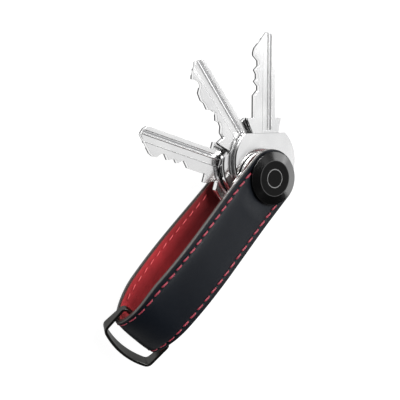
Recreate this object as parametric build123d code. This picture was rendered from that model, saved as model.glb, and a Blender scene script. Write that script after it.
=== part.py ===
from build123d import *
import math
import os

# Pocket key organiser. The leather strap is folded into a loop and its two ends
# are clamped on one post, with the keys fanned on the post between the ends.
# +Z runs along the post towards the front cap, -X points to the folded end that
# carries the D-ring, and +Y is the side the keys fan out to.
# The origin is on the post's axis, on the rear cap's flat outer face.
# All sizes are in millimetres.

# Strap, seen from above: it narrows towards the fold, more on its +Y side, to clear the ring's arms
STRAP_WIDTH = 20.0
STRAP_END_RADIUS = STRAP_WIDTH / 2
WAIST_START_X = -60.0
FOLD_LEFT_Y = 8.1
FOLD_RIGHT_Y = -9.7
LINING_INSET = 0.25

# Strap, seen from the side: heights are above and below the middle plane
CAP_HEIGHT = 1.7
HALF_STACK = 8.1
MIDDLE_Z = CAP_HEIGHT + HALF_STACK
STRAP_START_X = STRAP_END_RADIUS + 1.0
CLAMPED_END_X = -9.6
BELLY_X = -43.0
BELLY_HALF_HEIGHT = 9.4
SHOULDER_X = -58.5
SHOULDER_HALF_HEIGHT = 8.3
NECK_X = -66.8
NECK_HALF_HEIGHT = 5.95
FOLD_X = -72.1

OUTER_THICKNESS = 1.1
LINING_THICKNESS = 0.9
LEG_THICKNESS = OUTER_THICKNESS + LINING_THICKNESS
SIDE_STATIONS = 40

# Stitching
STITCH_ROW_Y = 7.95
STITCH_PITCH = 3.72
STITCH_START_X = -6.1
STITCH_LENGTH = 2.5
STITCH_WIDTH = 0.62
STITCH_HEIGHT = 0.32
INNER_STITCH_WIDTH = 0.5
INNER_STITCH_HEIGHT = 0.2
INNER_STITCH_SPAN_X = (-65.5, -14.9)

# Post, caps and clamp screw
CAP_RADIUS = 9.2
CAP_RIM_HEIGHT = 1.05
CAP_FACE_RADIUS = 6.2
CAP_EDGE_FILLET = 0.15
INLAY_RADIUS = 5.95
INLAY_DEPTH = 0.7
INLAY_GAP = 0.02
RING_MARK_RADIUS = 3.3
RING_MARK_WIDTH = 0.35
RING_MARK_DEPTH = 0.12
REAR_FACE_RADIUS = 8.3
COIN_SLOT_LENGTH = 9.0
COIN_SLOT_WIDTH = 1.7
COIN_SLOT_DEPTH = 1.0
POST_RADIUS = 2.9
POST_BORE_RADIUS = 1.8
POST_END_Z = 2.2
POST_BORE_END_Z = 14.5
SCREW_RADIUS = 1.75
SCREW_END_Z = 13.0
REAR_CAP_GAP = 0.03

# Pieces stacked on the post, from the front leg down
PLATE_RADIUS = 10.6
PLATE_CENTRE_X = -1.9
PLATE_TAIL_HALF_WIDTH = 9.6
PLATE_TAIL_CORNER_X = -10.9
PLATE_TAIL_END_X = -13.3
PLATE_THICKNESS = 1.0
PLATE_EDGE_FILLET = 0.25
BUSH_RADIUS = 3.4
BUSH_HOLE_RADIUS = 3.5
POST_CLEARANCE = 0.05
FRONT_WASHER_RADIUS = 6.5
FRONT_WASHER_THICKNESS = 0.5
MIDDLE_WASHER_RADIUS = 6.0
MIDDLE_WASHER_THICKNESS = 0.8
REAR_SPACER_RADIUS = 6.5
REAR_SPACER_THICKNESS = 1.0
SPRING_RADIUS = 6.5
SPRING_HEIGHT = 1.0
SPRING_THICKNESS = 0.35
STACK_GAP = 0.05

# Keys: u runs from the post's axis to the tip, v across towards the cuts
KEY_THICKNESS = 2.1
BLADE_THICKNESS = 1.9
BOW_RADIUS = 13.2
BOW_OFFSET = 5.7
BOW_CHAMFER = 0.45
BOW_STEP_U = 15.4
KEY_HOLE_RADIUS = 3.2
NECK_U = 15.9
NECK_HALF_WIDTH = 5.7
COLLAR_U = 20.7
COLLAR_CUT_SIDE = 7.6
COLLAR_BACK_SIDE = 6.6
COLLAR_TIP_FLAT = 0.9
BLADE_BACK_V = -4.15
BLADE_CUT_V = 4.75
TIP_V = -0.6
TIP_SLOPE_LENGTH = 2.0
TIP_CORNER_LENGTH = 0.9
TIP_CORNER_V = -3.1
GROOVE_START_U = 16.4
GROOVE_LENGTH = 40.0
GROOVE_WALL_SLOPE = 0.35
WIDE_GROOVE_V = 0.05
WIDE_GROOVE_WIDTH = 2.4
WIDE_GROOVE_DEPTH = 0.4
NARROW_GROOVE_V = -2.1
NARROW_GROOVE_WIDTH = 1.3
NARROW_GROOVE_DEPTH = 0.45
TWO_NOTCH_CUTS = [
    (28.3, 4.75),
    (30.2, 2.9),
    (31.5, 2.9),
    (33.1, 4.4),
    (34.0, 3.5),
    (35.6, 3.5),
    (37.0, 4.4),
    (38.5, 2.8),
    (40.1, 2.9),
    (41.9, 4.75),
    (43.0, 4.75),
    (44.5, 4.2),
    (47.3, 1.6),
    (48.8, 0.4),
]
DEEP_NOTCH_CUTS = [
    (22.6, 4.75),
    (24.3, 3.3),
    (25.8, 3.0),
    (27.1, 3.8),
    (29.4, 2.4),
    (30.8, 3.0),
    (32.3, 4.5),
    (34.7, 4.2),
    (36.2, 4.75),
    (38.9, 4.2),
    (40.4, 2.2),
    (41.6, 1.9),
    (43.1, 2.5),
    (44.2, 3.6),
    (45.8, 2.3),
    (47.2, 0.4),
]
KEYS = {
    "key_1": {"angle": 45.1, "top": 14.3, "tip": 50.0, "cuts": TWO_NOTCH_CUTS},
    "key_2": {"angle": 80.9, "top": 12.1, "tip": 48.3, "cuts": DEEP_NOTCH_CUTS},
    "key_3": {"angle": 117.7, "top": 9.0, "tip": 50.0, "cuts": TWO_NOTCH_CUTS},
}

# D-ring: a flat band bent to a D and widest at its nose. It hangs loosely from its
# straight bar in the fold, swung down and turned a little askew.
RING_BAR_PLACE = (-66.7, -0.5, 11.3)
RING_SWING = 30.5
RING_YAW = 7.4
RING_ROLL = 3.5
RING_BAR_WIDTH = 2.2
RING_NOSE_WIDTH = 6.0
RING_BAND_THICKNESS = 1.0
RING_BAR_HALF = 10.5
RING_ARM_LENGTH = 9.65
RING_SHOULDER_HALF = 10.2
RING_REACH = 11.75
RING_CORNER_RADIUS = 2.0
RING_BAR_CORNER_RADIUS = 1.2
RING_EDGE_FILLET = 0.22


def strap_outline(inset):
    """The strap seen from above: a waist at the fold and a round end about the post."""
    half = STRAP_WIDTH / 2 - inset
    left_side = [(0, half), (WAIST_START_X, half), (FOLD_X, FOLD_LEFT_Y - inset)]
    right_side = [(FOLD_X, FOLD_RIGHT_Y + inset), (WAIST_START_X, -half), (0, -half)]
    plan = make_face(Polyline(*left_side, *right_side, close=True))
    return plan + Circle(half)


def side_curve(depth):
    """The folded strap's side curve at a depth below its outer surface, front leg first."""
    upper = [
        (CLAMPED_END_X, HALF_STACK),
        (BELLY_X, BELLY_HALF_HEIGHT),
        (SHOULDER_X, SHOULDER_HALF_HEIGHT),
        (NECK_X, NECK_HALF_HEIGHT),
    ]
    lower = [(x, -height) for x, height in reversed(upper)]
    outline = upper + [(FOLD_X, 0)] + lower
    points = [(x, 0, MIDDLE_Z + height) for x, height in outline]
    ends = [(-1, 0, 0), (1, 0, 0)]
    outer = Spline(*points, tangents=ends)
    if depth == 0:
        return outer
    shares = [number / SIDE_STATIONS for number in range(SIDE_STATIONS + 1)]
    inward = [outer.position_at(s) + into_loop(outer, s) * depth for s in shares]
    return Spline(*inward, tangents=ends)


def into_loop(curve, share):
    """The direction from a side curve into the loop."""
    return curve.tangent_at(share).cross(Vector(0, 1, 0))


def strap_layer(outside, inside, inset):
    """One layer of the strap, between two depths below the outer surface."""
    outer = side_curve(outside)
    inner = side_curve(inside)
    reach = Vector(STRAP_START_X - CLAMPED_END_X, 0, 0)
    rear_end = Polyline(outer @ 1, (outer @ 1) + reach, (inner @ 1) + reach, inner @ 1)
    front_end = Polyline(inner @ 0, (inner @ 0) + reach, (outer @ 0) + reach, outer @ 0)
    face = Face(Wire([*outer.edges(), *rear_end.edges(), *inner.edges(), *front_end.edges()]))
    band = extrude(face, amount=STRAP_WIDTH, dir=(0, 1, 0), both=True)
    plan = extrude(strap_outline(inset), amount=2 * MIDDLE_Z)
    hole = extrude(Circle(BUSH_HOLE_RADIUS), amount=2 * MIDDLE_Z)
    return (band & plan) - hole


def stitch_path(depth):
    """The line the stitches follow, from the front leg round the fold to the rear leg."""
    curve = side_curve(depth)
    lead = Vector(STITCH_START_X - CLAMPED_END_X, 0, 0)
    front = Line((curve @ 0) + lead, curve @ 0)
    rear = Line(curve @ 1, (curve @ 1) + lead)
    return Wire([front.edge(), curve.edge(), rear.edge()])


def thread(depth, side, width, height):
    """One row of stitches lying on a surface of the strap."""
    path = stitch_path(depth)
    count = round(path.length / STITCH_PITCH)
    stitches = []
    for number in range(count + 1):
        share = number / count
        place = path.position_at(share) + Vector(0, side * STITCH_ROW_Y, 0)
        if depth > 0 and not INNER_STITCH_SPAN_X[0] < place.X < INNER_STITCH_SPAN_X[1]:
            continue
        normal = into_loop(path, share)
        if depth == 0:
            normal = -normal
        lie = Plane(origin=place, x_dir=path.tangent_at(share), z_dir=normal)
        stitches.append(extrude(lie * SlotOverall(STITCH_LENGTH, width), amount=height))
    return Compound(children=stitches)


def cap_disc(face_radius):
    """A low round cap, flat against the strap at its base and bevelled to its face."""
    profile = Polyline(
        (0, 0),
        (CAP_RADIUS, 0),
        (CAP_RADIUS, CAP_RIM_HEIGHT),
        (face_radius, CAP_HEIGHT),
        (0, CAP_HEIGHT),
        close=True,
    )
    disc = revolve(Plane.XZ * make_face(profile), axis=Axis.Z)
    circles = disc.edges().filter_by(GeomType.CIRCLE)
    return fillet(circles.filter_by(lambda e: e.center().Z > CAP_RIM_HEIGHT / 2), CAP_EDGE_FILLET)


def front_cap():
    """Cap on the front leg, with a shallow pocket for its flat inlay."""
    cap = Pos(0, 0, MIDDLE_Z + HALF_STACK) * cap_disc(CAP_FACE_RADIUS)
    pocket_floor = MIDDLE_Z + HALF_STACK + CAP_HEIGHT - INLAY_DEPTH
    pocket = Pos(0, 0, pocket_floor) * extrude(Circle(INLAY_RADIUS + INLAY_GAP), amount=CAP_HEIGHT)
    return cap - pocket - Pos(0, 0, MIDDLE_Z) * extrude(Circle(POST_RADIUS), amount=HALF_STACK + CAP_HEIGHT)


def front_inlay():
    """Flat disc set in the front cap, with one turned ring groove."""
    top = MIDDLE_Z + HALF_STACK + CAP_HEIGHT
    disc = Pos(0, 0, top - INLAY_DEPTH) * extrude(Circle(INLAY_RADIUS), amount=INLAY_DEPTH)
    ring = Circle(RING_MARK_RADIUS) - Circle(RING_MARK_RADIUS - RING_MARK_WIDTH)
    return disc - Pos(0, 0, top - RING_MARK_DEPTH) * extrude(ring, amount=RING_MARK_DEPTH)


def barrel_post():
    """Plain round post with a blind bore for the clamp screw, set in the front cap."""
    top = MIDDLE_Z + HALF_STACK + CAP_HEIGHT - INLAY_DEPTH
    post = Pos(0, 0, POST_END_Z) * extrude(Circle(POST_RADIUS), amount=top - POST_END_Z)
    bore = Pos(0, 0, POST_END_Z) * extrude(Circle(POST_BORE_RADIUS), amount=POST_BORE_END_Z - POST_END_Z)
    return post - bore


def rear_cap():
    """Cap on the rear leg, with a coin slot across its flat outer face."""
    cap = Pos(0, 0, CAP_HEIGHT - REAR_CAP_GAP) * Rot(180, 0, 0) * cap_disc(REAR_FACE_RADIUS)
    slot = extrude(SlotOverall(COIN_SLOT_LENGTH, COIN_SLOT_WIDTH), amount=COIN_SLOT_DEPTH)
    seat = Pos(0, 0, COIN_SLOT_DEPTH) * extrude(Circle(SCREW_RADIUS), amount=CAP_HEIGHT)
    return cap - slot - seat


def clamp_screw():
    """Screw shank set in the rear cap and running up inside the post."""
    return Pos(0, 0, COIN_SLOT_DEPTH) * extrude(Circle(SCREW_RADIUS), amount=SCREW_END_Z - COIN_SLOT_DEPTH)


def end_plate():
    """Plate on the inner side of a leg, round about the post and with a bowed tail
    towards the fold. Its bush goes through the leg's hole."""
    corner = (PLATE_TAIL_CORNER_X, PLATE_TAIL_HALF_WIDTH)
    other_corner = (PLATE_TAIL_CORNER_X, -PLATE_TAIL_HALF_WIDTH)
    root = (PLATE_CENTRE_X, PLATE_TAIL_HALF_WIDTH)
    other_root = (PLATE_CENTRE_X, -PLATE_TAIL_HALF_WIDTH)
    bow = ThreePointArc(corner, (PLATE_TAIL_END_X, 0), other_corner)
    sides = Polyline(other_corner, other_root, root, corner)
    outline = make_face([bow.edge(), *sides.edges()]) + Pos(PLATE_CENTRE_X, 0) * Circle(PLATE_RADIUS)
    plate = extrude(outline, amount=-PLATE_THICKNESS)
    plate = fillet(plate.edges().filter_by(Plane.XY), PLATE_EDGE_FILLET)
    bush = extrude(Circle(BUSH_RADIUS), amount=LEG_THICKNESS - STACK_GAP)
    bore = extrude(Circle(POST_RADIUS + POST_CLEARANCE), amount=LEG_THICKNESS, both=True)
    return plate + bush - bore


def washer(bottom, radius, thickness):
    """A flat washer round the post."""
    ring = Circle(radius) - Circle(POST_RADIUS + POST_CLEARANCE)
    return Pos(0, 0, bottom) * extrude(ring, amount=thickness)


def disc_spring(bottom):
    """A shallow conical spring washer round the post."""
    inner = POST_RADIUS + POST_CLEARANCE
    profile = Polyline(
        (inner, SPRING_HEIGHT - SPRING_THICKNESS),
        (SPRING_RADIUS, 0),
        (SPRING_RADIUS, SPRING_THICKNESS),
        (inner, SPRING_HEIGHT),
        close=True,
    )
    return Pos(0, 0, bottom) * revolve(Plane.XZ * make_face(profile), axis=Axis.Z)


def groove(v, width, depth, face):
    """A groove with sloping walls along the blade, on its upper (+1) or lower (-1) face."""
    middle = face * v
    surface = BLADE_THICKNESS / 2
    slope = depth * GROOVE_WALL_SLOPE
    above = width / 2 + slope
    below = width / 2 - slope
    profile = [
        (middle - above, face * (surface + depth)),
        (middle + above, face * (surface + depth)),
        (middle + below, face * (surface - depth)),
        (middle - below, face * (surface - depth)),
    ]
    start = Plane.YZ.offset(GROOVE_START_U)
    return extrude(start * make_face(Polyline(*profile, close=True)), amount=GROOVE_LENGTH, dir=(1, 0, 0))


def key(angle, top, tip, cuts):
    """A flat key with a round bow, a collar and a cut blade, turned about the post."""
    collar_slope = COLLAR_U - COLLAR_TIP_FLAT
    outline = [
        (BOW_OFFSET, NECK_HALF_WIDTH),
        (BOW_OFFSET, -NECK_HALF_WIDTH),
        (NECK_U, -NECK_HALF_WIDTH),
        (collar_slope, -COLLAR_BACK_SIDE),
        (COLLAR_U, -COLLAR_BACK_SIDE),
        (COLLAR_U, BLADE_BACK_V),
        (tip - TIP_SLOPE_LENGTH, BLADE_BACK_V),
        (tip - TIP_CORNER_LENGTH, TIP_CORNER_V),
        (tip, TIP_V),
        *reversed(cuts),
        (COLLAR_U, BLADE_CUT_V),
        (COLLAR_U, COLLAR_CUT_SIDE),
        (collar_slope, COLLAR_CUT_SIDE),
        (NECK_U, NECK_HALF_WIDTH),
    ]
    blade = extrude(make_face(Polyline(*outline, close=True)), amount=BLADE_THICKNESS / 2, both=True)
    for face in (1, -1):
        blade -= groove(WIDE_GROOVE_V, WIDE_GROOVE_WIDTH, WIDE_GROOVE_DEPTH, face)
        blade -= groove(NARROW_GROOVE_V, NARROW_GROOVE_WIDTH, NARROW_GROOVE_DEPTH, face)
    bow_outline = Pos(BOW_OFFSET, 0) * Circle(BOW_RADIUS)
    bow_outline -= Pos(BOW_STEP_U + BOW_RADIUS, 0) * Rectangle(2 * BOW_RADIUS, 2 * BOW_RADIUS)
    bow = extrude(bow_outline, amount=KEY_THICKNESS / 2, both=True)
    rims = bow.edges().filter_by(GeomType.CIRCLE).filter_by(lambda e: e.radius > KEY_HOLE_RADIUS)
    bow = chamfer(rims, BOW_CHAMFER)
    whole = bow + blade - Cylinder(KEY_HOLE_RADIUS, 2 * KEY_THICKNESS)
    return Pos(0, 0, top - KEY_THICKNESS / 2) * Rot(0, 0, angle) * whole


def d_ring():
    """Flat band bent to a D, its straight bar lying across the inside of the fold."""
    shoulder = (RING_ARM_LENGTH, RING_SHOULDER_HALF)
    other_shoulder = (RING_ARM_LENGTH, -RING_SHOULDER_HALF)
    sides = Polyline(other_shoulder, (0, -RING_BAR_HALF), (0, RING_BAR_HALF), shoulder)
    nose = ThreePointArc(shoulder, (RING_REACH, 0), other_shoulder)
    loop = make_face([*sides.edges(), *nose.edges()])
    bar_corners = loop.vertices().filter_by(lambda v: v.X < RING_ARM_LENGTH / 2)
    loop = fillet(bar_corners, RING_BAR_CORNER_RADIUS)
    nose_corners = loop.vertices().filter_by(lambda v: abs(v.X - RING_ARM_LENGTH) < RING_EDGE_FILLET)
    loop = fillet(nose_corners, RING_CORNER_RADIUS)
    half = RING_BAND_THICKNESS / 2
    band = extrude(offset(loop, half) - offset(loop, -half), amount=RING_NOSE_WIDTH, both=True)
    ring = band & ring_side_shape()
    rims = ring.edges().filter_by(lambda e: abs(e.center().Z) > RING_BAR_WIDTH / 3)
    hang = Pos(*RING_BAR_PLACE) * Rot(0, -RING_SWING, 180)
    return hang * Rot(0, 0, RING_YAW) * Rot(RING_ROLL, 0, 0) * fillet(rims, RING_EDGE_FILLET)


def ring_side_shape():
    """The D-ring seen from its side: narrow at the bar and wide at the nose."""
    back = -RING_BAND_THICKNESS
    front = RING_REACH + RING_BAND_THICKNESS
    outline = [
        (back, RING_BAR_WIDTH / 2),
        (front, RING_NOSE_WIDTH / 2),
        (front, -RING_NOSE_WIDTH / 2),
        (back, -RING_BAR_WIDTH / 2),
    ]
    side = make_face(Plane.XZ * Polyline(*outline, close=True))
    return extrude(side, amount=RING_BAR_HALF + RING_BAND_THICKNESS, both=True)


def stack():
    """The fixed pieces on the post, from the front leg down to the rear leg."""
    front_face = MIDDLE_Z + HALF_STACK - LEG_THICKNESS
    rear_face = MIDDLE_Z - HALF_STACK + LEG_THICKNESS
    front_washer_bottom = front_face - PLATE_THICKNESS - STACK_GAP - FRONT_WASHER_THICKNESS
    middle_washer_bottom = KEYS["key_3"]["top"] + 2 * STACK_GAP
    spacer_bottom = KEYS["key_3"]["top"] - KEY_THICKNESS - 2 * STACK_GAP - REAR_SPACER_THICKNESS
    spring_bottom = rear_face + PLATE_THICKNESS + STACK_GAP
    return {
        "front_end_plate": Pos(0, 0, front_face) * end_plate(),
        "front_washer": washer(front_washer_bottom, FRONT_WASHER_RADIUS, FRONT_WASHER_THICKNESS),
        "middle_washer": washer(middle_washer_bottom, MIDDLE_WASHER_RADIUS, MIDDLE_WASHER_THICKNESS),
        "rear_spacer": washer(spacer_bottom, REAR_SPACER_RADIUS, REAR_SPACER_THICKNESS),
        "disc_spring": disc_spring(spring_bottom),
        "rear_end_plate": Pos(0, 0, rear_face) * Rot(180, 0, 0) * end_plate(),
    }


nodes = {
    "outer_leather": strap_layer(0, OUTER_THICKNESS, 0),
    "lining_leather": strap_layer(OUTER_THICKNESS, LEG_THICKNESS, LINING_INSET),
    "outer_thread_left": thread(0, 1, STITCH_WIDTH, STITCH_HEIGHT),
    "outer_thread_right": thread(0, -1, STITCH_WIDTH, STITCH_HEIGHT),
    "inner_thread_left": thread(LEG_THICKNESS, 1, INNER_STITCH_WIDTH, INNER_STITCH_HEIGHT),
    "inner_thread_right": thread(LEG_THICKNESS, -1, INNER_STITCH_WIDTH, INNER_STITCH_HEIGHT),
    "front_cap": front_cap(),
    "front_inlay": front_inlay(),
    "barrel_post": barrel_post(),
    "rear_cap": rear_cap(),
    "clamp_screw": clamp_screw(),
    **stack(),
    **{name: key(**sizes) for name, sizes in KEYS.items()},
    "d_ring": d_ring(),
}

os.makedirs("parts", exist_ok=True)
for name, shape in nodes.items():
    export_step(shape, f"parts/{name}.step")
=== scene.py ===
import math
import bmesh
import bpy
import numpy as np
from mathutils import Matrix, Vector, noise


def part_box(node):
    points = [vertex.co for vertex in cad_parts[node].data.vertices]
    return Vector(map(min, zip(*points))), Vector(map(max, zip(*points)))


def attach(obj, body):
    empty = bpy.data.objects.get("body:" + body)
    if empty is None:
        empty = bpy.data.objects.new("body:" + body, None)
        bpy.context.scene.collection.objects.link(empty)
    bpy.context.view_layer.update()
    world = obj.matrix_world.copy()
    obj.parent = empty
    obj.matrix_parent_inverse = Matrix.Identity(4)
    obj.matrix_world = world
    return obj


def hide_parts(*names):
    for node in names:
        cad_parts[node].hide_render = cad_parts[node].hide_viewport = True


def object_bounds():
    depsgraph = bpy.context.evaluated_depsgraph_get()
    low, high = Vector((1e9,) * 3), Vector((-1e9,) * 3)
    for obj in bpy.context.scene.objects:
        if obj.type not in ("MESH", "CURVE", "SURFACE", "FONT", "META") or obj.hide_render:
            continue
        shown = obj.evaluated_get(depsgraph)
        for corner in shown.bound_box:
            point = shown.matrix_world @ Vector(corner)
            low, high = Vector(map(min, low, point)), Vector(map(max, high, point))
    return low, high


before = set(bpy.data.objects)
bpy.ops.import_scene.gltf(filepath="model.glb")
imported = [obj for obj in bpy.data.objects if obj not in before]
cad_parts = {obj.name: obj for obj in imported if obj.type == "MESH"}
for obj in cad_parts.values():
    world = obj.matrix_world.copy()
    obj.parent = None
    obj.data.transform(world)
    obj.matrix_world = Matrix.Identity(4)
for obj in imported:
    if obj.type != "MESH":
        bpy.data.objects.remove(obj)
cad_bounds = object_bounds()

# All lengths are in metres, in the frame's axes: +Z runs along the post towards the
# front cap, -X to the fold with the D-ring, and +Y is the side the keys fan out to.
MM = 0.001

# ---------------------------------------------------------------- strap dimensions
leather_low, leather_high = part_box("outer_leather")
HALF_WIDTH = leather_high.y
END_RADIUS = leather_high.x
FOLD_X = leather_low.x
MIDDLE_Z = (leather_low.z + leather_high.z) / 2
CLAMPED_HALF_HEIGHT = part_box("front_cap")[0].z - MIDDLE_Z
CAP_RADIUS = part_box("front_cap")[1].x

CLAMPED_END_X = -9.6 * MM
# Knots of the strap's outer side line, as x and height above its middle, from the caps
# to the last one before the fold
SIDE_POINTS = [
    (CLAMPED_END_X, CLAMPED_HALF_HEIGHT),
    (-43.0 * MM, 9.4 * MM),
    (-58.5 * MM, 8.3 * MM),
    (-66.8 * MM, 5.95 * MM),
]
CURVE_SAMPLES = 4000

# Towards the fold the strap leans to -Y, narrows outside WAIST_INSIDE, and turns askew
WAIST_START_X = -56.0 * MM
FOLD_LEAN = 0.8 * MM
FOLD_HALF_WIDTH = 8.85 * MM
WAIST_INSIDE = 7.2 * MM
FOLD_SKEW = 1.0 * MM

OUTER_THICKNESS = 1.1 * MM
LEG_THICKNESS = 2.0 * MM
LINING_INSET = 0.25 * MM
OUTER_TOP_ROUND = 0.38 * MM
OUTER_BOTTOM_ROUND = 0.10 * MM
LINING_TOP_ROUND = 0.06 * MM
LINING_BOTTOM_ROUND = 0.16 * MM
THINNEST_CUT_EDGE = 0.1 * MM
BUSH_RADIUS = 3.4 * MM

# The rear leg lies close to the floor, so it is padded less. The change is at the fold
FRONT_PADDING = 0.75 * MM
REAR_PADDING = 0.15 * MM
PADDING_CHANGE = 10 * MM
PADDING_SHAPE = 3.2
LINING_CROWN = 0.12 * MM

# A shallow bed in the lining, to make room for the D-ring's bar. They still touch a little
RING_BAR_X = -66.7 * MM
RING_BED_DEPTH = 0.32 * MM
RING_BED_REACH = 2.6 * MM

# Size and height of the leather's slow wander, and the margins round the caps over which
# the faces come free of the clamp
OUTER_WANDER = (9 * MM, 0.05 * MM)
LINING_WANDER = (7 * MM, 0.04 * MM)
LINING_WANDER_SHIFT = 0.1
OUTER_CLAMP_MARGIN = 7 * MM
LINING_CLAMP_MARGIN = 5 * MM
CLAMPED_SINK = 0.02 * MM

# ---------------------------------------------------------------- stitch dimensions
STITCH_ROW_Y = 7.95 * MM
STITCH_PITCH = 3.72 * MM
STITCH_START_X = -6.35 * MM
STITCH_SLANT = 0.16 * MM
INNER_STITCH_SPAN_X = (-65.5 * MM, -14.9 * MM)

HOLE_DEPTH = 0.34 * MM
HOLE_HALF_LENGTH = 0.42 * MM
HOLE_HALF_WIDTH = 0.34 * MM
CHANNEL_DEPTH = 0.13 * MM
BARE_CHANNEL_DEPTH = 0.10 * MM
CHANNEL_HALF_WIDTH = 0.62 * MM
STITCHED_MARGIN = 0.6
LINING_HOLE_SHARE = 0.55

# ---------------------------------------------------------------- key dimensions
# U runs along a key's blade from the post, and V across it
KEY_ANGLES = {
    "key_1": math.radians(45.1),
    "key_2": math.radians(80.9),
    "key_3": math.radians(117.7),
}
GROOVE_START_U = 16.4 * MM
NARROW_GROOVE_V = -2.1 * MM
WIDE_GROOVE_EDGE_V = 1.25 * MM


def smooth(value, low, high):
    """0 below low, 1 above high, easing in between."""
    t = np.clip((value - low) / (high - low), 0, 1)
    return t * t * (3 - 2 * t)


# ================================================================ the strap's path
def side_line():
    """Dense points on the strap's outer side line in XZ, from the front leg's round end
    to the rear leg's, as a clamped cubic spline between two straight leads."""
    rear = [(x, -height) for x, height in reversed(SIDE_POINTS)]
    knots = np.array(SIDE_POINTS + [(FOLD_X, 0.0)] + rear)
    chord = np.linalg.norm(np.diff(knots, axis=0), axis=1)
    at = np.concatenate([[0.0], np.cumsum(chord)])
    slopes = spline_slopes(knots, chord, np.array([-1.0, 0.0]), np.array([1.0, 0.0]))
    t = np.linspace(0, at[-1], CURVE_SAMPLES)
    span = np.clip(np.searchsorted(at, t, side="right") - 1, 0, len(chord) - 1)
    h = chord[span][:, None]
    u = ((t - at[span]) / chord[span])[:, None]
    curve = (
        (2 * u**3 - 3 * u**2 + 1) * knots[span]
        + (u**3 - 2 * u**2 + u) * h * slopes[span]
        + (3 * u**2 - 2 * u**3) * knots[span + 1]
        + (u**3 - u**2) * h * slopes[span + 1]
    )
    front_end = np.array([[END_RADIUS, CLAMPED_HALF_HEIGHT]])
    rear_end = np.array([[END_RADIUS, -CLAMPED_HALF_HEIGHT]])
    return np.vstack([front_end, curve, rear_end])


def spline_slopes(knots, chord, first, last):
    """Slopes at the knots of a cubic spline with given slopes at its two ends."""
    count = len(knots)
    matrix = np.eye(count)
    right = np.zeros((count, 2))
    right[0], right[-1] = first, last
    for i in range(1, count - 1):
        before, after = chord[i - 1], chord[i]
        matrix[i, i - 1 : i + 2] = after, 2 * (before + after), before
        rise_before = (knots[i] - knots[i - 1]) / before
        rise_after = (knots[i + 1] - knots[i]) / after
        right[i] = 3 * (after * rise_before + before * rise_after)
    return np.linalg.solve(matrix, right)


LINE = side_line()
LINE_AT = np.concatenate([[0.0], np.cumsum(np.linalg.norm(np.diff(LINE, axis=0), axis=1))])
LINE_LENGTH = LINE_AT[-1]
LINE_TANGENT = np.gradient(LINE, LINE_AT, axis=0)
STITCH_START = END_RADIUS - STITCH_START_X
STITCH_COUNT = round((LINE_LENGTH - 2 * STITCH_START) / STITCH_PITCH)
STITCH_STEP = (LINE_LENGTH - 2 * STITCH_START) / STITCH_COUNT


def on_line(along):
    """Points and outward normals of the side line at distances along it."""
    point = np.stack([np.interp(along, LINE_AT, LINE[:, i]) for i in (0, 1)], axis=-1)
    tangent = np.stack([np.interp(along, LINE_AT, LINE_TANGENT[:, i]) for i in (0, 1)], axis=-1)
    tangent /= np.linalg.norm(tangent, axis=-1, keepdims=True)
    outward = np.stack([tangent[..., 1], -tangent[..., 0]], axis=-1)
    return point, outward


def strap_point(along, across, height):
    """Points of the frame at a distance along the strap, across it, and above its outer
    face."""
    point, outward = on_line(along)
    place = point + outward * height[..., None]
    fold_share = smooth(-place[..., 0], -WAIST_START_X, -FOLD_X)
    squeeze = (HALF_WIDTH - FOLD_HALF_WIDTH) / (HALF_WIDTH - WAIST_INSIDE) * fold_share
    margin = np.clip(np.abs(across) - WAIST_INSIDE, 0, None)
    sideways = np.sign(across) * (np.abs(across) - margin * squeeze) - FOLD_LEAN * fold_share
    skew = FOLD_SKEW * across / HALF_WIDTH * fold_share
    return np.stack([place[..., 0] - skew, sideways, place[..., 1] + MIDDLE_Z], axis=-1)


# ================================================================ mesh helpers
def make_piece(name, points, faces, body, stands_for, material, attributes=()):
    """A smooth-shaded mesh piece that rides on a body and stands for CAD nodes."""
    mesh = bpy.data.meshes.new(name)
    mesh.from_pydata(np.asarray(points).tolist(), [], faces)
    for label, values in attributes:
        attribute = mesh.attributes.new(label, "FLOAT", "POINT")
        attribute.data.foreach_set("value", np.asarray(values, np.float32))
    mesh.shade_smooth()
    mesh.materials.append(material)
    piece = bpy.data.objects.new(name, mesh)
    bpy.context.scene.collection.objects.link(piece)
    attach(piece, body)
    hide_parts(*stands_for)
    return piece


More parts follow.
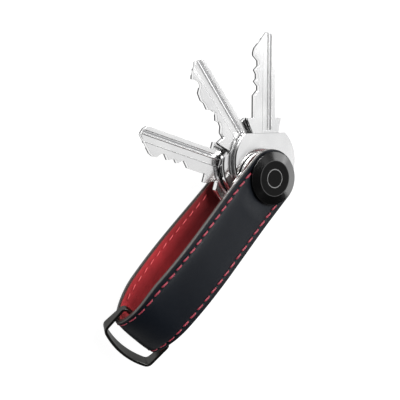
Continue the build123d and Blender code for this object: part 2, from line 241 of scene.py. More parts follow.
# ================================================================ material helpers
class Finish:
    """A node material built round one Principled shader."""

    def __init__(self, name, **sockets):
        self.material = bpy.data.materials.new(name)
        self.material.use_nodes = True
        self.tree = self.material.node_tree
        self.shader = self.tree.nodes["Principled BSDF"]
        for socket, value in sockets.items():
            self.shader.inputs[socket.replace("_", " ")].default_value = value
        self.place = self.add("ShaderNodeTexCoord").outputs["Object"]

    def feed(self, socket, value):
        """Gives an input a value, or links it to another node's output."""
        if isinstance(value, bpy.types.NodeSocket):
            self.tree.links.new(value, socket)
        else:
            socket.default_value = value

    def add(self, kind, inputs=(), **settings):
        """A new node, with its settings, and inputs that are values or other outputs."""
        node = self.tree.nodes.new(kind)
        for key, value in settings.items():
            setattr(node, key, value)
        for socket, value in dict(inputs).items():
            self.feed(node.inputs[socket], value)
        return node

    def turned(self, angle):
        """The object's coordinates, seen with X turned by an angle about the post."""
        inputs = {"Vector": self.place, "Rotation": (0, 0, -angle)}
        return self.add("ShaderNodeMapping", inputs).outputs[0]

    def parts(self, vector):
        """The three components of a vector."""
        return self.add("ShaderNodeSeparateXYZ", {"Vector": vector}).outputs

    def noise(self, scale, detail=4.0, stretch=(1, 1, 1), roughness=0.55, place=None):
        """Noise with a feature size of about 1 / scale metres, stretched along the axes."""
        start = self.place if place is None else place
        mapping = self.add("ShaderNodeMapping", {"Vector": start, "Scale": stretch})
        inputs = {
            "Vector": mapping.outputs[0],
            "Scale": scale,
            "Detail": detail,
            "Roughness": roughness,
        }
        return self.add("ShaderNodeTexNoise", inputs).outputs["Fac"]

    def cells(self, scale, feature="F1"):
        """Distance in a Voronoi pattern, to the nearest cell or to its edge, as in grain."""
        inputs = {"Vector": self.place, "Scale": scale}
        return self.add("ShaderNodeTexVoronoi", inputs, feature=feature).outputs["Distance"]

    def remap(self, value, low, high, to_low=0.0, to_high=1.0):
        """value taken from one range to another, clamped."""
        inputs = {
            "Value": value,
            "From Min": low,
            "From Max": high,
            "To Min": to_low,
            "To Max": to_high,
        }
        return self.add("ShaderNodeMapRange", inputs).outputs["Result"]

    def math(self, operation, first, second=0.0):
        """One arithmetic step."""
        node = self.add("ShaderNodeMath", operation=operation)
        self.feed(node.inputs[0], first)
        self.feed(node.inputs[1], second)
        return node.outputs[0]

    def times(self, first, second):
        """The product of two numbers."""
        return self.math("MULTIPLY", first, second)

    def blend(self, share, first, second):
        """A colour between two, by share."""
        node = self.add("ShaderNodeMix", data_type="RGBA")
        for index, value in zip(COLOUR_MIX_SOCKETS, (share, first, second)):
            self.feed(node.inputs[index], value)
        return node.outputs[COLOUR_MIX_RESULT]

    def attribute(self, name):
        """A number stored on the mesh."""
        return self.add("ShaderNodeAttribute", attribute_name=name).outputs["Fac"]

    def link(self, socket, value):
        """Feeds a shader socket from a node."""
        self.feed(self.shader.inputs[socket], value)

    def bump(self, *layers):
        """Bump from (height, distance) layers, the finest last."""
        normal = None
        for height, distance in layers:
            inputs = {"Height": height, "Distance": distance}
            if normal:
                inputs["Normal"] = normal
            normal = self.add("ShaderNodeBump", inputs).outputs[0]
        self.link("Normal", normal)


def from_post(finish):
    """Distance from the post towards the fold."""
    return finish.times(finish.parts(finish.place)[0], -1.0)


def from_axis(finish):
    """Distance from the post's axis."""
    inputs = {0: finish.place, 1: (1, 1, 0)}
    flat = finish.add("ShaderNodeVectorMath", inputs, operation="MULTIPLY").outputs[0]
    length = finish.add("ShaderNodeVectorMath", {0: flat}, operation="LENGTH")
    return length.outputs["Value"]


def face_level(finish):
    """1 on faces that lie flat across the post, 0 on faces that stand along it."""
    facing = finish.add("ShaderNodeNewGeometry").outputs["True Normal"]
    either_way = finish.add("ShaderNodeVectorMath", {0: facing}, operation="ABSOLUTE")
    return finish.parts(either_way.outputs[0])[2]


def near_line(finish, value, middle, reach):
    """1 where a value is close to its middle, fading to 0 at reach."""
    away = finish.math("ABSOLUTE", finish.math("SUBTRACT", value, middle))
    return finish.remap(away, 0.7 * reach, reach, 1.0, 0.0)


def grey(level):
    """A neutral colour."""
    return (level, level, level, 1)


# ================================================================ material values
COLOUR_MIX_SOCKETS = (0, 6, 7)
COLOUR_MIX_RESULT = 2

# The part of a noise's range that takes a tone from one end to the other
STRONG = (0.35, 0.65)
MILD = (0.30, 0.70)

# Colours are linear. Where there are two, noise runs from the first to the second
LEATHER_FACE = (0.0028, 0.0043, 0.0074, 1), (0.0042, 0.0060, 0.0096, 1)
# The pale tones of a highlight painted on the upper corner of the cut edge
LEATHER_CREST_HIGHLIGHT = (0.10, 0.096, 0.090, 1), (0.18, 0.172, 0.162, 1)
LEATHER_EDGE = (0.030, 0.026, 0.024, 1)
# Distances from the post over which the painted edge highlight fades, and the share of it left
CREST_HIGHLIGHT_FADE = (42 * MM, 64 * MM)
CREST_HIGHLIGHT_LEFT = 0.25

LINING_FACE = (0.32, 0.018, 0.024, 1), (0.42, 0.027, 0.034, 1)
LINING_DARK = (0.06, 0.003, 0.004, 1)
LINING_EDGE = (0.060, 0.026, 0.022, 1)
LINING_SHEEN = (1, 0.35, 0.35, 1)
LINING_FADE = (14 * MM, 44 * MM)
LINING_DARKNESS = 0.82

CRIMSON = (0.27, 0.016, 0.036, 1), (0.42, 0.040, 0.074, 1)
CORAL = (0.72, 0.060, 0.070, 1), (0.90, 0.130, 0.140, 1)
# Painted shade on the thread's flanks, against the lighter tones that paint a highlight on its top
THREAD_FLANK_SHADE = (0.10, 0.004, 0.010, 1)
THREAD_SHEEN = (1, 0.5, 0.6, 1)

BEVEL_BLACK = (0.0016, 0.0016, 0.0017, 1)
FACE_BLACK = grey(0.0060)
INLAY_FACE = grey(0.0020), grey(0.0048)
INLAY_RING = grey(0.24)
INLAY_RING_INSIDE = (2.94 * MM, 2.97 * MM)
INLAY_RING_OUTSIDE = (3.28 * MM, 3.31 * MM)

PLATE_STEEL = (0.80, 0.79, 0.77)
# A darker copy of the plate steel for the rear plate: painted shade
SHADED_PLATE_STEEL = (0.40, 0.395, 0.385)
POST_STEEL = (0.62, 0.61, 0.59)
GUNMETAL = (0.080, 0.080, 0.077)
GUNMETAL_TINT = 0.5
BRUSHED = (0.06, 1, 1)
SMUDGE_SHADE = 0.86

NICKEL = (0.84, 0.84, 0.845, 1), grey(0.90)
KEY_BRUSHED = (0.05, 1, 1)
KEY_DARK = grey(0.10)
KEY_WALL = grey(0.80)
KEY_WALL_FOOT = grey(0.05)
KEY_FOOT_RISE = (0.15 * MM, 0.40 * MM)
BLADE_BOTTOM_RISE = 0.6 * MM
GROOVE_START_BLUR = 0.1 * MM
GROOVE_TINTS = [
    (NARROW_GROOVE_V, 0.32 * MM, (0.38, 0.38, 0.39, 1)),
    (WIDE_GROOVE_EDGE_V, 0.15 * MM, grey(0.16)),
]
STRAP_SIDE = (-6 * MM, 4 * MM)
# Painted shade on the bow beside the strap: the distances from the post over which it fades, and
# its strength
STRAP_SHADE_RADIUS = (10.0 * MM, 13.5 * MM)
STRAP_SHADE_STRENGTH = 0.85

NYLON = (0.52, 0.51, 0.48, 1), (0.66, 0.65, 0.62, 1)
PAPER = grey(0.115), grey(0.125)
PAPER_GLOW = 0.97


# ================================================================ materials
def outer_leather_finish():
    """Blue-black full-grain leather. Its cut edge is taupe, with a pale painted highlight
    along its upper corner that fades towards the fold."""
    finish = Finish("outer_leather")
    clouds = finish.remap(finish.noise(90, 5), *STRONG)
    face = finish.blend(clouds, *LEATHER_FACE)
    # A painted highlight on the upper corner of the cut edge, varied by noise and fading towards
    # the fold
    highlight_tone = finish.remap(finish.noise(700, 6), 0.35, 0.7)
    crest_highlight = finish.blend(highlight_tone, *LEATHER_CREST_HIGHLIGHT)
    height = finish.remap(finish.attribute("crest_highlight"), 0.55, 0.95)
    pale = finish.remap(from_post(finish), *CREST_HIGHLIGHT_FADE, 1.0, CREST_HIGHLIGHT_LEFT)
    edge = finish.blend(finish.times(height, pale), LEATHER_EDGE, crest_highlight)
    cut = finish.attribute("cut")
    finish.link("Base Color", finish.blend(cut, face, edge))
    rough = finish.remap(finish.noise(1200, 4), *MILD, 0.42, 0.54)
    finish.link("Roughness", finish.math("SUBTRACT", rough, finish.times(cut, 0.16)))
    finish.link("Specular IOR Level", finish.math("ADD", 0.15, finish.times(cut, 0.30)))
    finish.bump(
        (finish.remap(finish.cells(1500, "DISTANCE_TO_EDGE"), 0.0, 0.12), 0.012 * MM),
        (finish.cells(2600), 0.010 * MM),
        (finish.noise(6000, 2), 0.006 * MM),
    )
    return finish.material


def lining_finish():
    """Deep red lining leather with a fine napped grain. It darkens towards the keys, which
    stands in for the shade that the photo shows there."""
    finish = Finish(
        "lining_leather",
        Specular_IOR_Level=0.2,
        Sheen_Weight=0.15,
        Sheen_Roughness=0.6,
        Sheen_Tint=LINING_SHEEN,
    )
    clouds = finish.remap(finish.noise(160, 6), *STRONG)
    face = finish.blend(clouds, *LINING_FACE)
    shaded = finish.remap(from_post(finish), *LINING_FADE, LINING_DARKNESS, 0.0)
    face = finish.blend(shaded, face, LINING_DARK)
    cut = finish.attribute("cut")
    finish.link("Base Color", finish.blend(cut, face, LINING_EDGE))
    finish.link("Roughness", finish.remap(finish.noise(2500, 3), *MILD, 0.62, 0.8))
    nap = finish.noise(1800, 5, stretch=(0.35, 1, 1))
    finish.bump((nap, 0.07 * MM), (finish.cells(3500), 0.012 * MM))
    return finish.material


def thread_finish(name, tones, sheen):
    """Waxed red thread; its twist is in the mesh, its fibres in the bump."""
    finish = Finish(
        name,
        Specular_IOR_Level=0.5,
        Sheen_Weight=sheen,
        Sheen_Roughness=0.35,
        Sheen_Tint=THREAD_SHEEN,
    )
    shade = finish.remap(finish.noise(1500, 3), *STRONG)
    core = finish.blend(shade, *tones)
    # The crown mark paints a highlight along the top of the thread; its flanks get painted shade
    crown = finish.attribute("crown")
    finish.link("Base Color", finish.blend(crown, THREAD_FLANK_SHADE, core))
    finish.link("Roughness", finish.remap(finish.noise(3000, 2), *MILD, 0.4, 0.55))
    finish.bump((finish.noise(9000, 3), 0.01 * MM))
    return finish.material


def black_metal_finish():
    """Black anodised metal: a polished bevel and a fine-blasted flat face."""
    finish = Finish("black_metal", Specular_IOR_Level=0.6)
    flat = finish.remap(face_level(finish), 0.992, 0.998)
    specks = finish.noise(5000, 3)
    finish.link("Base Color", finish.blend(flat, BEVEL_BLACK, FACE_BLACK))
    satin = finish.remap(specks, *MILD, 0.11, 0.15)
    finish.link("Roughness", finish.math("ADD", satin, finish.times(flat, 0.38)))
    finish.bump((specks, 0.0025 * MM))
    return finish.material


def inlay_finish():
    """Fine-blasted black disc; the turned ring groove shows bare metal."""
    finish = Finish("inlay_metal", Specular_IOR_Level=0.06)
    radius = from_axis(finish)
    within = finish.remap(radius, *INLAY_RING_OUTSIDE, 1.0, 0.0)
    ring = finish.times(within, finish.remap(radius, *INLAY_RING_INSIDE))
    specks = finish.noise(5000, 3)
    face = finish.blend(finish.remap(specks, *MILD), *INLAY_FACE)
    finish.link("Base Color", finish.blend(ring, face, INLAY_RING))
    finish.link("Roughness", finish.remap(specks, *MILD, 0.5, 0.62))
    finish.bump((specks, 0.004 * MM))
    return finish.material


def metal_finish(name, colour, roughness, scratch_scale, tint=1.0):
    """Metal with fine polishing marks along X, smudges and small tone changes."""
    finish = Finish(name, Metallic=1.0, Specular_Tint=grey(tint))
    marks = finish.noise(scratch_scale, 5.0, BRUSHED, 0.5)
    smudges = finish.remap(finish.noise(120, 4), *STRONG)
    dark = [SMUDGE_SHADE * c for c in colour]
    finish.link("Base Color", finish.blend(smudges, (*dark, 1), (*colour, 1)))
    base = finish.remap(marks, *MILD, roughness * 0.85, roughness * 1.15)
    finish.link("Roughness", finish.math("ADD", base, finish.times(smudges, 0.04)))
    finish.bump((marks, 0.003 * MM))
    return finish.material


def key_finish(name, angle, bottom):
    """Nickel-plated brass, lightly brushed along the blade. The dark tints in the grooves,
    on the slope round the bow, at the foot of the cut walls and on the bow beside the strap
    stand in for the shadows and reflections that the photo shows there."""
    finish = Finish(name, Metallic=1.0)
    turned = finish.turned(angle)
    along, across, height = finish.parts(turned)
    on_blade = finish.remap(
        along, GROOVE_START_U - GROOVE_START_BLUR, GROOVE_START_U + GROOVE_START_BLUR
    )
    smudges = finish.remap(finish.noise(70, 3), *STRONG)
    plate = finish.blend(smudges, *NICKEL)
    for middle, reach, tint in GROOVE_TINTS:
        in_groove = finish.times(on_blade, near_line(finish, across, middle, reach))
        plate = finish.blend(in_groove, plate, tint)
    strap_side = finish.remap(from_post(finish), *STRAP_SIDE)
    # Painted shade on the bow beside the strap
    strap_shade = finish.remap(from_axis(finish), *STRAP_SHADE_RADIUS, STRAP_SHADE_STRENGTH, 0.0)
    plate = finish.blend(finish.times(strap_side, strap_shade), plate, KEY_DARK)

    level = face_level(finish)
    slope = finish.times(
        finish.remap(level, 0.78, 0.82), finish.remap(level, 0.975, 0.985, 1.0, 0.0)
    )
    bow_slope = finish.times(slope, finish.math("SUBTRACT", 1.0, on_blade))
    plate = finish.blend(bow_slope, plate, KEY_DARK)
    lift = finish.math("SUBTRACT", height, finish.times(on_blade, BLADE_BOTTOM_RISE))
    foot_low, foot_high = KEY_FOOT_RISE
    foot = finish.remap(lift, bottom + foot_low, bottom + foot_high, 1.0, 0.0)
    # The upright walls are painted a little darker than the faces, and darkest at their foot:
    # painted shade
    wall = finish.blend(foot, KEY_WALL, KEY_WALL_FOOT)
    upright = finish.remap(level, 0.36, 0.45, 1.0, 0.0)
    finish.link("Base Color", finish.blend(upright, plate, wall))

    marks = finish.noise(4200, 4.0, KEY_BRUSHED, 0.5, turned)
    base = finish.remap(marks, *MILD, 0.17, 0.21)
    finish.link("Roughness", finish.math("ADD", base, finish.times(smudges, 0.03)))
    finish.bump((marks, 0.0003 * MM))
    return finish.material


def nylon_finish():
    """Slightly cloudy nylon for the washers."""
    finish = Finish(
        "nylon", Specular_IOR_Level=0.4, Subsurface_Weight=0.15, Subsurface_Scale=1.0 * MM
    )
    clouds = finish.remap(finish.noise(500, 4), *STRONG)
    finish.link("Base Color", finish.blend(clouds, *NYLON))
    finish.link("Roughness", finish.remap(finish.noise(2000, 3), *MILD, 0.35, 0.5))
    finish.bump((finish.noise(4000, 3), 0.006 * MM))
    return finish.material


def floor_finish():
    """Plain pale studio paper with the faintest tooth, glowing a little."""
    finish = Finish(
        "floor_paper",
        Roughness=0.9,
        Specular_IOR_Level=0.1,
        Emission_Color=grey(1),
        Emission_Strength=PAPER_GLOW,
    )
    tooth = finish.remap(finish.noise(400, 3), *STRONG)
    finish.link("Base Color", finish.blend(tooth, *PAPER))
    return finish.material


# ================================================================ leather pieces
# Columns of mesh points, in millimetres in from the edge and to each side of a stitch row
EDGE_COLUMNS = [0.0, 0.06, 0.14, 0.25, 0.4, 0.65, 1.0, 1.35]
ROW_COLUMNS = [-0.75, -0.5, -0.3, -0.12, 0.0, 0.12, 0.3, 0.5, 0.75]
FIELD_MARGIN = 1.1 * MM
HALF_FIELD_COLUMNS = 12
END_ROWS = 22
LEAD_ROWS = 14
ROWS_PER_STITCH = 8
MERGE_DISTANCE = 0.002 * MM


def column_places():
    """Distances across the strap, close together at its edges and along the stitch rows."""
    edge = [HALF_WIDTH - d * MM for d in EDGE_COLUMNS]
    row = [STITCH_ROW_Y + d * MM for d in ROW_COLUMNS]
    field = np.linspace(0, STITCH_ROW_Y - FIELD_MARGIN, HALF_FIELD_COLUMNS)
    half = sorted({round(y, 7) for y in [*edge, *row, *field]})
    return np.array([-y for y in reversed(half[1:])] + half)


def row_places():
    """Distances along the strap: fine at the round ends, and an even number per stitch."""
    angles = np.linspace(0, math.pi / 2, END_ROWS)
    end = END_RADIUS * (1 - np.cos(angles))
    lead = np.linspace(END_RADIUS, STITCH_START, LEAD_ROWS)[1:-1]
    last = LINE_LENGTH - STITCH_START
    body = np.linspace(STITCH_START, last, STITCH_COUNT * ROWS_PER_STITCH + 1)
    front = np.concatenate([end, lead])
    return np.concatenate([front, body, LINE_LENGTH - front[::-1]])


def hole_depth(along, across):
    """How deep the stitch holes and the pull of the thread sink the leather."""
    span = (along - STITCH_START) / STITCH_STEP
    from_hole = np.abs(span % 1.0 - 0.5) * STITCH_STEP
    from_row = np.abs(np.abs(across) - STITCH_ROW_Y)
    stitched = (span > -STITCHED_MARGIN) & (span < STITCH_COUNT + STITCHED_MARGIN)
    hole = np.exp(-((from_hole / HOLE_HALF_LENGTH) ** 2) - (from_row / HOLE_HALF_WIDTH) ** 2)
    channel = np.exp(-((from_row / CHANNEL_HALF_WIDTH) ** 2))
    sewn = HOLE_DEPTH * hole + CHANNEL_DEPTH * channel
    return np.where(stitched, sewn, BARE_CHANNEL_DEPTH * channel)


def wander(points, size, amount):
    """A slow wander of a surface, as worked leather has. It is the same each run."""
    values = [noise.noise(Vector(point) / size) for point in points.reshape(-1, 3)]
    return np.array(values).reshape(points.shape[:-1]) * amount


def clamped_share(along, across, margin):
    """1 beside the caps, fading to 0 a margin further out."""
    from_end = np.minimum(along, LINE_LENGTH - along)
    distance = np.hypot(from_end - END_RADIUS, across)
    return 1 - smooth(distance, CAP_RADIUS, CAP_RADIUS + margin)


def outer_surface(along, across):
    """Height of the strap's outer face: crowned between the rows, drawn in by the thread."""
    rear_share = smooth(along - LINE_LENGTH / 2, -PADDING_CHANGE, PADDING_CHANGE)
    padding = FRONT_PADDING + (REAR_PADDING - FRONT_PADDING) * rear_share
    crown = padding * np.clip(1 - (np.abs(across) / STITCH_ROW_Y) ** PADDING_SHAPE, 0, 1)
    free = 1 - clamped_share(along, across, OUTER_CLAMP_MARGIN)
    flat = strap_point(along, across, np.zeros_like(across))
    slow = wander(flat, *OUTER_WANDER)
    return (crown + slow) * free - hole_depth(along, across) - CLAMPED_SINK * (1 - free)


def glued_surface(_along, across):
    """Height of the face between the two bands, from the strap's outer face."""
    return np.full_like(across, -OUTER_THICKNESS)


def lining_surface(along, across):
    """Height of the lining's inner face, from the strap's outer face, with the ring's bed."""
    free = 1 - clamped_share(along, across, LINING_CLAMP_MARGIN)
    flat = strap_point(along, across, np.zeros_like(across))
    slow = wander(flat + LINING_WANDER_SHIFT, *LINING_WANDER)
    crown = LINING_CROWN * np.clip(1 - (across / STITCH_ROW_Y) ** 2, 0, 1)
    bed = RING_BED_DEPTH * np.exp(-(((flat[..., 0] - RING_BAR_X) / RING_BED_REACH) ** 2))
    sewn = LINING_HOLE_SHARE * hole_depth(along, across)
    return bed - LEG_THICKNESS - (crown + slow - sewn) * free


def leather_layer(inset, top, bottom, top_round, bottom_round):
    """A closed layer of the strap, as points, faces and marks for its material. inset is
    how far it lies inside the strap's outline, top and bottom give its faces' heights, and
    the rounds are the radii of their edges."""
    rows = row_places()
    columns = column_places() / HALF_WIDTH
    from_end = np.minimum(rows, LINE_LENGTH - rows)
    end_x = np.clip(END_RADIUS - from_end, 0, END_RADIUS)
    half = np.sqrt(np.clip(END_RADIUS**2 - end_x**2, 0, None))
    scale = (HALF_WIDTH - inset) / HALF_WIDTH
    along = np.repeat(rows[:, None], len(columns), axis=1)
    across = half[:, None] * columns[None, :] * scale
    shrink = np.where(from_end < END_RADIUS, inset * end_x / END_RADIUS, 0)[:, None]
    along = np.where(rows[:, None] < LINE_LENGTH / 2, along + shrink, along - shrink)
    x_end = end_x[:, None] * np.ones_like(across)
    end_gap = END_RADIUS - np.hypot(x_end, across / scale)
    side_gap = HALF_WIDTH - np.abs(across) / scale
    outline_gap = np.clip(np.where(x_end > 0, end_gap, side_gap), 0, None)
    upper = top(along, across) - corner_drop(outline_gap, top_round)
    lower = bottom(along, across) + corner_drop(outline_gap, bottom_round)
    wall = 1 - smooth(outline_gap, 0.0, max(top_round, THINNEST_CUT_EDGE))
    return sheet_pair(along, across, upper, lower, wall)


def corner_drop(gap, radius):
    """How far a rounded corner lies below the face, at a distance in from the outline."""
    inside = np.clip(radius - gap, 0, radius)
    return radius - np.sqrt(radius**2 - inside**2)


def sheet_pair(along, across, upper, lower, wall):
    """Joins an upper and a lower sheet into one closed band, left open round the bushes.
    Its marks say how much a point is cut edge, on both sheets and on the upper one only;
    the second marks where the cut edge's highlight is painted."""
    count_rows, count_columns = across.shape
    from_end = np.minimum(along, LINE_LENGTH - along)
    x_post = END_RADIUS - from_end
    reach = np.hypot(x_post, across)
    in_hole = reach < BUSH_RADIUS
    near_hole = in_hole[:-1, :-1] | in_hole[1:, :-1] | in_hole[:-1, 1:] | in_hole[1:, 1:]
    top_points = strap_point(along, across, upper)
    low_points = strap_point(along, across, lower)
    index = np.arange(count_rows * count_columns).reshape(count_rows, count_columns)
    faces = []
    edges = {}  # a dict, because it keeps its order
    for i in range(count_rows - 1):
        for j in range(count_columns - 1):
            if near_hole[i, j]:
                continue
            corners = [index[i, j], index[i + 1, j], index[i + 1, j + 1], index[i, j + 1]]
            faces.append(corners)
            faces.append([c + index.size for c in reversed(corners)])
            for a, b in zip(corners, corners[1:] + corners[:1]):
                edges[(a, b)] = True
    for a, b in edges:
        if (b, a) not in edges:
            faces.append([b, a, a + index.size, b + index.size])
    points = np.concatenate([top_points.reshape(-1, 3), low_points.reshape(-1, 3)])
    cut = np.concatenate([wall.ravel(), wall.ravel()])
    # Where the cut edge's highlight is painted: on the upper sheet only
    crest_highlight = np.concatenate([wall.ravel(), np.zeros(wall.size)])
    return points, faces, [("cut", cut), ("crest_highlight", crest_highlight)]


def tidy_mesh(piece):
    """Merges the points that meet at the strap's round tips and drops what they leave."""
    mesh = bmesh.new()
    mesh.from_mesh(piece.data)
    bmesh.ops.remove_doubles(mesh, verts=mesh.verts, dist=MERGE_DISTANCE)
    loose = [v for v in mesh.verts if not v.link_faces]
    bmesh.ops.delete(mesh, geom=loose, context="VERTS")
    bmesh.ops.recalc_face_normals(mesh, faces=mesh.faces)
    mesh.to_mesh(piece.data)
    mesh.free()


def outer_leather_piece(material):
    """The black outer band."""
    points, faces, marks = leather_layer(
        0.0, outer_surface, glued_surface, OUTER_TOP_ROUND, OUTER_BOTTOM_ROUND
    )
    piece = make_piece(
        "strap_outer_leather", points, faces, "strap", ["outer_leather"],
        material, marks,
    )
    tidy_mesh(piece)


def lining_piece(material):
    """The red lining band, glued inside the outer one."""
    points, faces, marks = leather_layer(
        LINING_INSET, glued_surface, lining_surface, LINING_TOP_ROUND, LINING_BOTTOM_ROUND
    )
    piece = make_piece(
        "strap_lining", points, faces, "strap", ["lining_leather"],
        material, marks,
    )
    tidy_mesh(piece)


# ================================================================ stitches
STITCH_RINGS = 15
STITCH_SIDES = 18
PLIES = 3
PLY_TURNS = 1.6
PLY_BULGE = 0.13
ARCH_SHARE = 0.38
END_TAPER = 0.35
# How much of the painted highlight is taken off at a stitch's ends, as painted shade where it
# dives into its holes
END_SHADE = 0.7
END_POWER = 6
DIVE_POWER = 5
SLANT_JITTER = 0.4
# How far round from the top of the thread its painted highlight reaches
LIT_CROWN_EDGE = 0.85

# How far apart neighbours, the two sides and the two faces lie in the noise of the jitter
JITTER_STEPS = (0.37, 3.1, 500)

# Half length, half width, level on the face, rise and sink of a stitch. Rise is how far it
# stands off the face, and sink how deep its ends dive
OUTER_STITCH = (1.47 * MM, 0.33 * MM, -0.08 * MM, 0.36 * MM, 0.42 * MM)
INNER_STITCH = (1.3 * MM, 0.22 * MM, -LEG_THICKNESS + 0.02 * MM, -0.27 * MM, 0.30 * MM)


def stitch_row(name, side, size, span_x, node, material):
    """One row of twisted stitches, each arching from hole to hole on a face of the strap. A
    row on the lining rises inwards, and keeps within span_x."""
    half_length, half_width, level, rise, sink = size
    outward = 1.0 if rise > 0 else -1.0
    turn = np.linspace(0, 2 * math.pi, STITCH_SIDES, endpoint=False)
    points, faces, lit_crowns = [], [], []
    for number in range(STITCH_COUNT + 1):
        middle = STITCH_START + number * STITCH_STEP
        middle_x = on_line(np.array([middle]))[0][0][0]
        if span_x and not span_x[0] < middle_x < span_x[1]:
            continue
        steps = zip((number, side, level), JITTER_STEPS)
        jitter = noise.noise(Vector([count * step for count, step in steps]))
        first = len(points)
        for ring in range(STITCH_RINGS):
            t = -1 + 2 * ring / (STITCH_RINGS - 1)
            taper = 1 - END_TAPER * abs(t) ** END_POWER
            twist = turn + t * PLY_TURNS * math.pi * 2 / PLIES + jitter
            girth = taper * (1 + PLY_BULGE * np.cos(PLIES * twist))
            wide = half_width * girth * np.cos(turn)
            tall = abs(rise) * (1 - ARCH_SHARE) * girth * np.sin(turn)
            arch = abs(rise) * ARCH_SHARE - sink * abs(t) ** DIVE_POWER
            slant = STITCH_SLANT * t * (1 + SLANT_JITTER * jitter)
            along = np.full(STITCH_SIDES, middle + t * half_length)
            across = side * STITCH_ROW_Y + slant + wide
            points.extend(strap_point(along, across, level + (arch + tall) * outward).tolist())
            # A painted highlight on the top of the thread, with painted shade on its flanks and at
            # its ends
            highlight_kept = 1 - END_SHADE * abs(t) ** END_POWER
            crown = smooth(np.sin(turn), 0.0, LIT_CROWN_EDGE) * highlight_kept
            lit_crowns.extend(crown.tolist())
        faces.extend(tube_faces(first, STITCH_RINGS, STITCH_SIDES))
    piece = make_piece(
        name, points, faces, "strap", [node], material, [("crown", lit_crowns)]
    )
    tidy_mesh(piece)


def tube_faces(first, rings, sides):
    """Faces of a closed tube whose rings of points follow each other."""
    faces = []
    for ring in range(rings - 1):
        for side in range(sides):
            near = first + ring * sides
            a, b = near + side, near + (side + 1) % sides
            faces.append([a, b, b + sides, a + sides])
    faces.append(list(range(first, first + sides))[::-1])
    last = first + (rings - 1) * sides
    faces.append(list(range(last, last + sides)))
    return faces


def all_stitches():
    """The four rows: two on the outer face, two on the lining."""
    crimson = thread_finish("stitching", CRIMSON, 0.45)
    coral = thread_finish("lining_stitching", CORAL, 0.1)
    for label, side in (("left", 1), ("right", -1)):
        outer_name, outer_node = f"outer_stitches_{label}", f"outer_thread_{label}"
        inner_name, inner_node = f"inner_stitches_{label}", f"inner_thread_{label}"
        stitch_row(outer_name, side, OUTER_STITCH, None, outer_node, crimson)
        stitch_row(inner_name, side, INNER_STITCH, INNER_STITCH_SPAN_X, inner_node, coral)


# ================================================================ CAD pieces
# Widths of the bevels that soften sharp edges
KEY_EDGE = 0.13 * MM
REAR_CAP_EDGE = 0.06 * MM
WASHER_EDGE = 0.05 * MM
WELD_DISTANCE = 0.001 * MM
SHARP_ANGLE = math.radians(32)


def dress(node, material, edge=0.0):
    """Gives a CAD node its finish, and softens its sharp edges by a small real bevel."""
    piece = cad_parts[node]
    piece.data.materials.clear()
    piece.data.materials.append(material)
    if edge:
        weld = piece.modifiers.new("weld", "WELD")
        weld.merge_threshold = WELD_DISTANCE
        bevel = piece.modifiers.new("bevel", "BEVEL")
        bevel.width = edge
        bevel.segments = 2
        bevel.limit_method = "ANGLE"
        bevel.angle_limit = SHARP_ANGLE
        piece.modifiers.new("normals", "WEIGHTED_NORMAL")


def dress_all():
    """Every CAD node that shows."""
    black = black_metal_finish()
    dress("front_cap", black)
    dress("rear_cap", black, REAR_CAP_EDGE)
    dress("front_inlay", inlay_finish())
    dress("front_end_plate", metal_finish("plate_steel", PLATE_STEEL, 0.26, 2500))
    # The rear plate gets the darker copy of the plate steel, as painted shade
    dress("rear_end_plate", metal_finish("rear_plate_steel", SHADED_PLATE_STEEL, 0.30, 2500))
    post = metal_finish("post_steel", POST_STEEL, 0.30, 2500)
    for node in ("barrel_post", "clamp_screw", "disc_spring"):
        dress(node, post)
    nylon = nylon_finish()
    for node in ("front_washer", "middle_washer", "rear_spacer"):
        dress(node, nylon, WASHER_EDGE)
    for node, angle in KEY_ANGLES.items():
        dress(node, key_finish(f"{node}_nickel", angle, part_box(node)[0].z), KEY_EDGE)
    dress("d_ring", metal_finish("gunmetal", GUNMETAL, 0.30, 2200, GUNMETAL_TINT))


# ================================================================ studio
FLOOR_SIZE = 3.0
FLOOR_GAP = 0.05 * MM
HORIZON_LIGHT = 0.75
ZENITH_LIGHT = 0.03
WALL_FADE = (0.10, 0.55)
LIGHT_DISTANCE = 0.80
# Name, direction from the object, size and radiance
LIGHTS = [
    ("top_softbox", (0.42, -0.44, 0.78), (0.50, 0.44), 0.76),
    ("side_softbox", (0.66, -0.62, 0.42), (0.52, 0.34), 3.4),
    ("corner_softbox", (0.67, -0.34, 0.65), (0.20, 0.20), 3.6),
    ("left_softbox", (0.30, 0.85, 0.43), (0.60, 0.35), 2.0),
    ("sheen_softbox", (0.42, 0.20, 0.88), (0.28, 0.28), 27.0),
]

CAMERA_TARGET = (-22.207 * MM, 12.358 * MM, 9.8 * MM)
CAMERA_DISTANCE = 462.67 * MM
CAMERA_AZIMUTH = math.radians(-143.28)
CAMERA_ELEVATION = math.radians(54.68)
CAMERA_ROLL = math.radians(96.99)
CAMERA_LENS = 123.16
CAMERA_SENSOR = 36.0
CAMERA_CLIP_START = 0.01


def studio_floor():
    """A wide pale floor that the object lies on."""
    half = FLOOR_SIZE / 2
    level = cad_bounds[0].z - FLOOR_GAP
    signs = ((-1, -1), (1, -1), (1, 1), (-1, 1))
    corners = [(half * x, half * y, level) for x, y in signs]
    mesh = bpy.data.meshes.new("studio_floor")
    mesh.from_pydata(corners, [], [(0, 1, 2, 3)])
    mesh.materials.append(floor_finish())
    floor = bpy.data.objects.new("studio_floor", mesh)
    bpy.context.scene.collection.objects.link(floor)


def studio_lights():
    """Soft boxes aimed at the object's middle."""
    centre = (cad_bounds[0] + cad_bounds[1]) / 2
    for name, direction, size, radiance in LIGHTS:
        light = bpy.data.lights.new(name, "AREA")
        light.shape = "RECTANGLE"
        light.size, light.size_y = size
        light.energy = radiance * math.pi * size[0] * size[1]
        lamp = bpy.data.objects.new(name, light)
        away = Vector(direction).normalized()
        lamp.location = centre + away * LIGHT_DISTANCE
        lamp.rotation_mode = "QUATERNION"
        lamp.rotation_quaternion = away.to_track_quat("Z", "Y")
        bpy.context.scene.collection.objects.link(lamp)


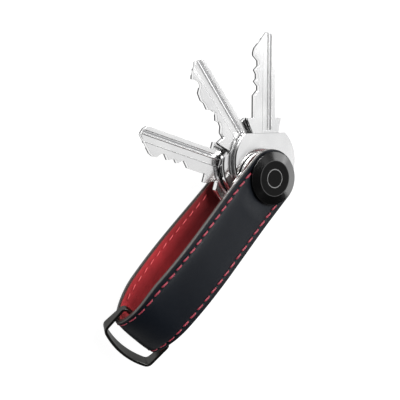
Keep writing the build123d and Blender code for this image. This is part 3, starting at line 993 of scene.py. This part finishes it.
def studio_walls():
    """Fill from pale walls all round, under a dark ceiling."""
    world = bpy.data.worlds.new("studio")
    world.use_nodes = True
    tree = world.node_tree
    direction = tree.nodes.new("ShaderNodeTexCoord").outputs["Generated"]
    height = tree.nodes.new("ShaderNodeSeparateXYZ")
    tree.links.new(direction, height.inputs[0])
    fall = tree.nodes.new("ShaderNodeMapRange")
    fall.interpolation_type = "SMOOTHSTEP"
    fall.inputs["From Min"].default_value = WALL_FADE[0]
    fall.inputs["From Max"].default_value = WALL_FADE[1]
    fall.inputs["To Min"].default_value = HORIZON_LIGHT
    fall.inputs["To Max"].default_value = ZENITH_LIGHT
    tree.links.new(height.outputs["Z"], fall.inputs["Value"])
    background = tree.nodes["Background"]
    background.inputs["Color"].default_value = (1, 1, 1, 1)
    tree.links.new(fall.outputs["Result"], background.inputs["Strength"])
    bpy.context.scene.world = world


def studio_camera():
    """The camera, rolled so that the organiser stands diagonally."""
    back = Vector(
        (
            math.sin(CAMERA_AZIMUTH) * math.cos(CAMERA_ELEVATION),
            -math.cos(CAMERA_AZIMUTH) * math.cos(CAMERA_ELEVATION),
            math.sin(CAMERA_ELEVATION),
        )
    )
    level = Vector((0, 0, 1)).cross(back).normalized()
    rise = back.cross(level)
    right = level * math.cos(CAMERA_ROLL) + rise * math.sin(CAMERA_ROLL)
    up = back.cross(right)
    data = bpy.data.cameras.new("camera")
    data.lens = CAMERA_LENS
    data.sensor_width = CAMERA_SENSOR
    data.clip_start = CAMERA_CLIP_START
    camera = bpy.data.objects.new("camera", data)
    turn = Matrix((right, up, back)).transposed().to_4x4()
    camera.matrix_world = Matrix.Translation(Vector(CAMERA_TARGET) + back * CAMERA_DISTANCE) @ turn
    bpy.context.scene.collection.objects.link(camera)
    bpy.context.scene.camera = camera
    bpy.context.scene.view_settings.view_transform = "Standard"


# ================================================================ the scene
outer_leather_piece(outer_leather_finish())
lining_piece(lining_finish())
all_stitches()
dress_all()
studio_floor()
studio_lights()
studio_walls()
studio_camera()
